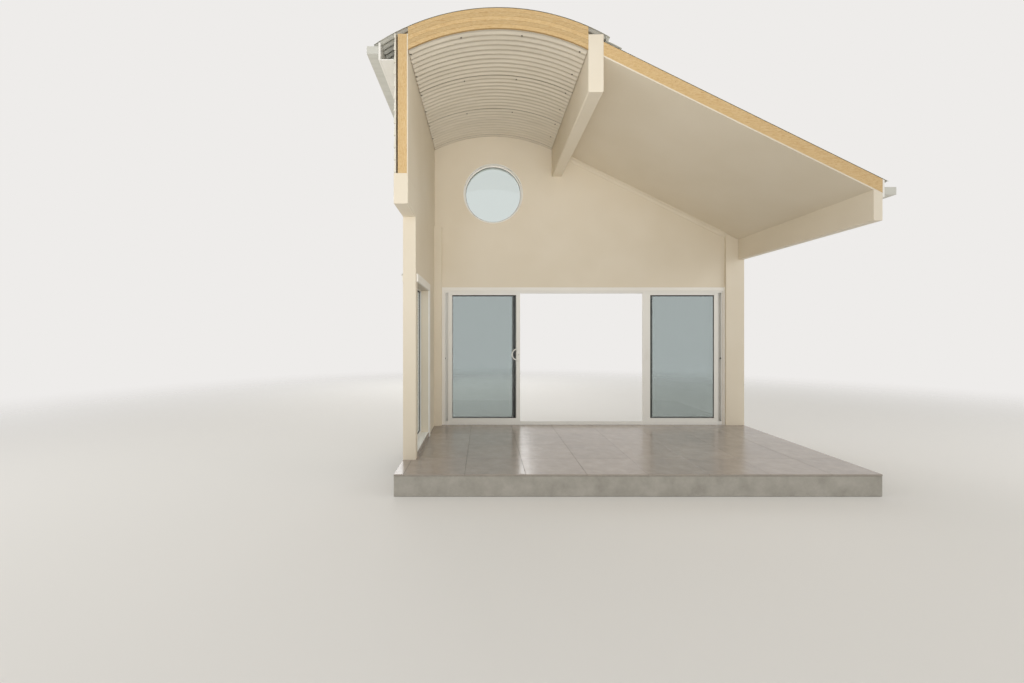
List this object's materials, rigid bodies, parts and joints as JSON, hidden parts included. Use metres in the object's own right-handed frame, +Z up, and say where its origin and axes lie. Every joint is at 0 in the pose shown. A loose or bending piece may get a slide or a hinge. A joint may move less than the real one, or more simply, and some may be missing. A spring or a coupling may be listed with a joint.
{
  "type": "vaulted window bay of a beach house",
  "caption": "End bay of a beach house: gable wall with sliding glass doors and a round window, return wall with side window, corrugated barrel vault beside a raked roof.",
  "frame": {"origin": "middle of the floor slab's underside", "axes": "+X to the right as seen from the room looking at the sea, +Y towards the sea, square to the gable wall, +Z up"},
  "size_m": [5.215, 3.068, 4.846],
  "materials": {
    "painted_board": "warm off-white matt paint on lining board",
    "framing_timber": "dressed pine framing, end grain at the cut",
    "weatherboard": "painted horizontal weatherboards",
    "white_trim": "white satin paint",
    "white_aluminium": "white powder coat",
    "tinted_glass": "grey tint",
    "clear_glass": "clear",
    "painted_corrugated_steel": "cream factory finish, curved sheet",
    "roofing_steel": "pale grey factory finish",
    "concrete": "cast concrete, formed edges",
    "porcelain_tile": "matt grey-beige large tiles, pale joints",
    "black_rubber": "matt",
    "roller_steel": "bright"
  },
  "bodies": {
    "bay": {"floor_slab": "concrete", "floor_tiles": "porcelain_tile", "gable_lining": "painted_board", "gable_core_over_doors": "framing_timber", "gable_core_piers": "framing_timber", "gable_cladding_over_doors": "weatherboard", "gable_cladding_piers": "weatherboard", "corner_post": "painted_board", "end_post": "painted_board", "return_lining": "painted_board", "return_core": "framing_timber", "return_cladding": "weatherboard", "free_post": "painted_board", "side_beam": "painted_board", "vault_beam": "painted_board", "eaves_beam": "painted_board", "side_window_frame": "white_aluminium", "side_window_glass": "tinted_glass", "side_window_reveal": "white_trim", "side_window_architrave": "white_trim", "side_window_kerb": "porcelain_tile", "porthole_reveal": "white_trim", "porthole_frame": "white_aluminium", "porthole_glass": "clear_glass", "vault_lining_1": "painted_corrugated_steel", "vault_lining_2": "painted_corrugated_steel", "vault_lining_3": "painted_corrugated_steel", "vault_lining_4": "painted_corrugated_steel", "vault_purlins": "framing_timber", "vault_roof_sheets": "roofing_steel", "vault_barge": "white_trim", "vault_end_rib": "framing_timber", "vault_fascia": "white_trim", "vault_soffit": "white_trim", "vault_gutter": "roofing_steel", "rake_lining": "painted_board", "rake_rafters": "framing_timber", "rake_roof_sheets": "roofing_steel", "rake_barge": "white_trim", "rake_fascia": "white_trim", "rake_soffit": "white_trim", "rake_gutter": "roofing_steel", "rake_cornice": "painted_board", "apron_flashing": "roofing_steel", "door_head": "white_aluminium", "door_sill": "white_aluminium", "door_jambs": "white_aluminium", "door_bumpers": "black_rubber", "door_trim": "white_trim", "fixed_panel_frames": "white_aluminium", "fixed_panel_glass": "tinted_glass"},
    "left_slider": {"left_slider_frame": "white_aluminium", "left_slider_glass": "tinted_glass", "left_slider_rollers": "roller_steel", "left_slider_handle": "white_aluminium"},
    "right_slider": {"right_slider_frame": "white_aluminium", "right_slider_glass": "tinted_glass", "right_slider_rollers": "roller_steel", "right_slider_pull": "white_aluminium"}
  },
  "joints": [
    {"name": "left_slider_slide", "type": "slide", "parent": "bay", "child": "left_slider", "axis": [1, 0, 0], "range_m": [-0.033, 0.9317]},
    {"name": "right_slider_slide", "type": "slide", "parent": "bay", "child": "right_slider", "axis": [-1, 0, 0], "range_m": [-0.033, 0.9317]}
  ]
}
